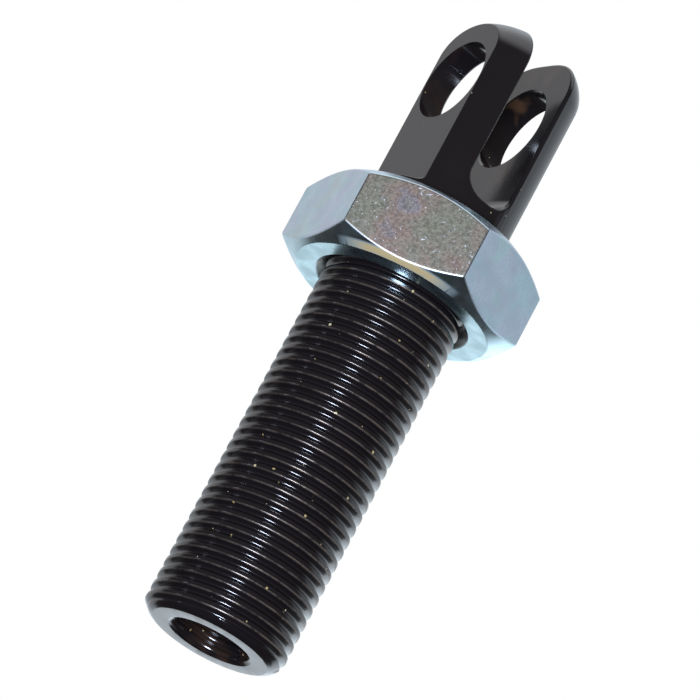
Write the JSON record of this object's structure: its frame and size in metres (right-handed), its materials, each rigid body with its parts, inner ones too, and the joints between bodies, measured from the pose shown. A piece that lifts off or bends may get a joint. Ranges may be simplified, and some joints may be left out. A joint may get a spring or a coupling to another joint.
{
  "type": "clevis rod end",
  "caption": "Clevis rod end: a slotted fork with a cross hole for a pin, on a long threaded shank that is tapped at its free end and carries a hexagon jam nut.",
  "frame": {"origin": "centre of the flat ring at the tapped end of the shank, on which the part stands", "axes": "+Z along the shank towards the fork, +X along the cross hole for the pin"},
  "size_m": [0.0248, 0.0272, 0.0738],
  "materials": {
    "black_coat": "glossy black coating on steel",
    "zinc_plate": "bright zinc plate with a clear passivated film"
  },
  "bodies": {
    "rod_end": {"clevis_body": "black_coat"},
    "nut": {"jam_nut": "zinc_plate"}
  },
  "joints": [
    {"name": "nut_travel", "type": "slide", "parent": "rod_end", "child": "nut", "axis": [0, 0, 1], "range_m": [-0.04092, 0]}
  ]
}
